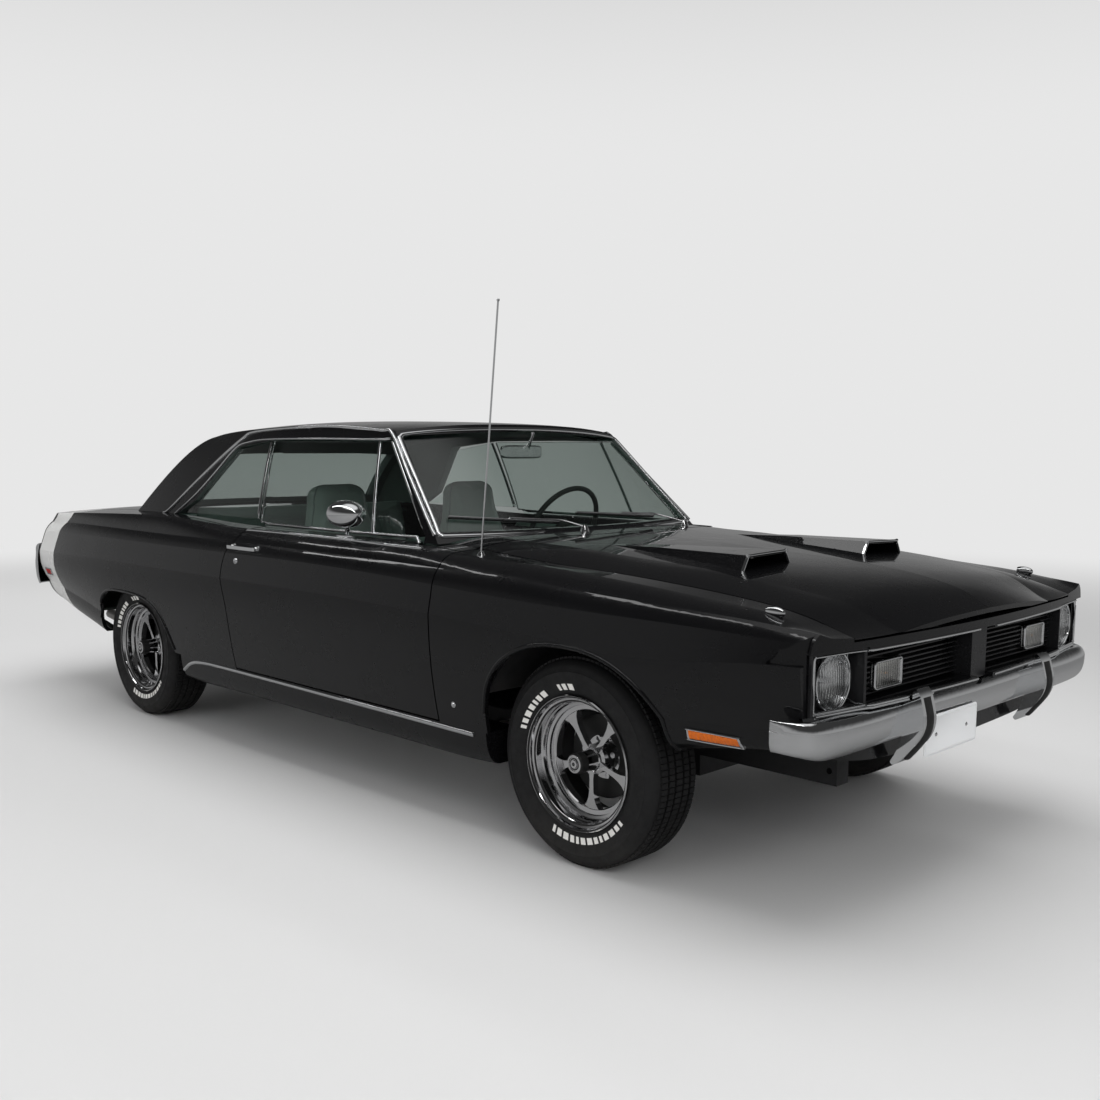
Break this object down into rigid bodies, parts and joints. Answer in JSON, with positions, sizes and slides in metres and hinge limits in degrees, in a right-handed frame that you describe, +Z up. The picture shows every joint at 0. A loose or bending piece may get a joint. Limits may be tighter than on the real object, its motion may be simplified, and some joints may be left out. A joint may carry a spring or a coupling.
{
  "type": "muscle car",
  "caption": "Two-door hardtop muscle car with long raised hood, twin hood scoops, wrap-round tail stripe and five-spoke wheels; doors, hood, trunk, wheels and steering move.",
  "frame": {"origin": "on the floor under the car's centre plane, midway between the bumpers' ends", "axes": "+X forwards, +Y to the car's left, +Z up"},
  "size_m": [4.9831, 1.77, 1.702],
  "materials": {
    "paint": "deep gloss black",
    "chrome": "polished",
    "glass": "clear, faintly green",
    "grille_black": "satin black",
    "lamp_glass": "fluted clear glass",
    "turn_lens": "ribbed clear lens",
    "tail_lens": "ribbed red lens",
    "tyre": "matte",
    "rim": "polished with black recesses",
    "vinyl": "grained vinyl",
    "dash_plastic": "grained black",
    "iron": "painted black",
    "chassis_black": "satin black",
    "steel": "dull"
  },
  "bodies": {
    "root": {"headlamp_bezels": "chrome", "rear_deck": "paint", "floor_pan": "chassis_black", "cowl": "paint", "wheel_houses": "chassis_black", "fender_left": "paint", "fender_right": "paint", "quarter_left": "paint", "quarter_right": "paint", "roof": "paint", "sills": "paint", "tail_panel": "paint", "nose_panel": "paint", "grille": "grille_black", "headlamps": "lamp_glass", "signal_lamps": "turn_lens", "tail_lamps": "tail_lens", "front_bumper": "chrome", "rear_bumper": "chrome", "front_valance": "paint", "windshield": "glass", "rear_window": "glass", "quarter_glass": "glass", "dashboard": "dash_plastic", "front_seats": "vinyl", "rear_seat": "vinyl", "rear_bulkhead": "dash_plastic", "engine_block": "iron", "radiator": "chassis_black", "front_subframe": "iron", "rear_axle": "iron", "driveshaft": "iron", "exhaust": "steel", "fuel_tank": "steel", "antenna": "chrome"},
    "hood": {"hood": "paint"},
    "trunk_lid": {"trunk_lid": "paint"},
    "door_left": {"door_left": "paint", "door_glass_left": "glass"},
    "door_right": {"door_right": "paint", "door_glass_right": "glass", "door_mirror": "chrome"},
    "steering_wheel": {"steering_wheel": "dash_plastic"},
    "knuckle_left": {"knuckle_left": "iron"},
    "knuckle_right": {"knuckle_right": "iron"},
    "wheel_front_left": {"tyre_front_left": "tyre", "rim_front_left": "rim"},
    "wheel_front_right": {"tyre_front_right": "tyre", "rim_front_right": "rim"},
    "wheel_rear_left": {"tyre_rear_left": "tyre", "rim_rear_left": "rim"},
    "wheel_rear_right": {"tyre_rear_right": "tyre", "rim_rear_right": "rim"}
  },
  "joints": [
    {"name": "steer_left", "type": "hinge", "parent": "root", "child": "knuckle_left", "pos_m": [1.5955, 0.636, 0.318], "axis": [0, 0, 1], "range_deg": [-30, 30]},
    {"name": "steer_right", "type": "hinge", "parent": "root", "child": "knuckle_right", "pos_m": [1.5955, -0.636, 0.318], "axis": [0, 0, 1], "range_deg": [-30, 30]},
    {"name": "steering_wheel_turn", "type": "hinge", "parent": "root", "child": "steering_wheel", "pos_m": [0.378, 0.37, 0.9], "axis": [-0.8988, 0, 0.4384], "range_deg": [-480, 480]},
    {"name": "spin_front_left", "type": "hinge", "parent": "knuckle_left", "child": "wheel_front_left", "pos_m": [1.5955, 0.712, 0.318], "axis": [0, 1, 0], "continuous": true},
    {"name": "spin_front_right", "type": "hinge", "parent": "knuckle_right", "child": "wheel_front_right", "pos_m": [1.5955, -0.712, 0.318], "axis": [0, 1, 0], "continuous": true},
    {"name": "spin_rear_left", "type": "hinge", "parent": "root", "child": "wheel_rear_left", "pos_m": [-1.2235, 0.692, 0.318], "axis": [0, 1, 0], "continuous": true},
    {"name": "spin_rear_right", "type": "hinge", "parent": "root", "child": "wheel_rear_right", "pos_m": [-1.2235, -0.692, 0.318], "axis": [0, 1, 0], "continuous": true},
    {"name": "door_left_swing", "type": "hinge", "parent": "root", "child": "door_left", "pos_m": [0.976, 0.889, 0.6], "axis": [0, 0, -1], "range_deg": [0, 65]},
    {"name": "door_right_swing", "type": "hinge", "parent": "root", "child": "door_right", "pos_m": [0.976, -0.889, 0.6], "axis": [0, 0, 1], "range_deg": [0, 65]},
    {"name": "hood_swing", "type": "hinge", "parent": "root", "child": "hood", "pos_m": [0.985, 0, 0.93], "axis": [0, -1, 0], "range_deg": [0, 50]},
    {"name": "trunk_swing", "type": "hinge", "parent": "root", "child": "trunk_lid", "pos_m": [-1.5, 0, 0.957], "axis": [0, 1, 0], "range_deg": [0, 70]}
  ],
  "couplings": [
    {"joint": "steer_right", "follows": "steer_left", "ratio": 1},
    {"joint": "steering_wheel_turn", "follows": "steer_left", "ratio": 16}
  ]
}
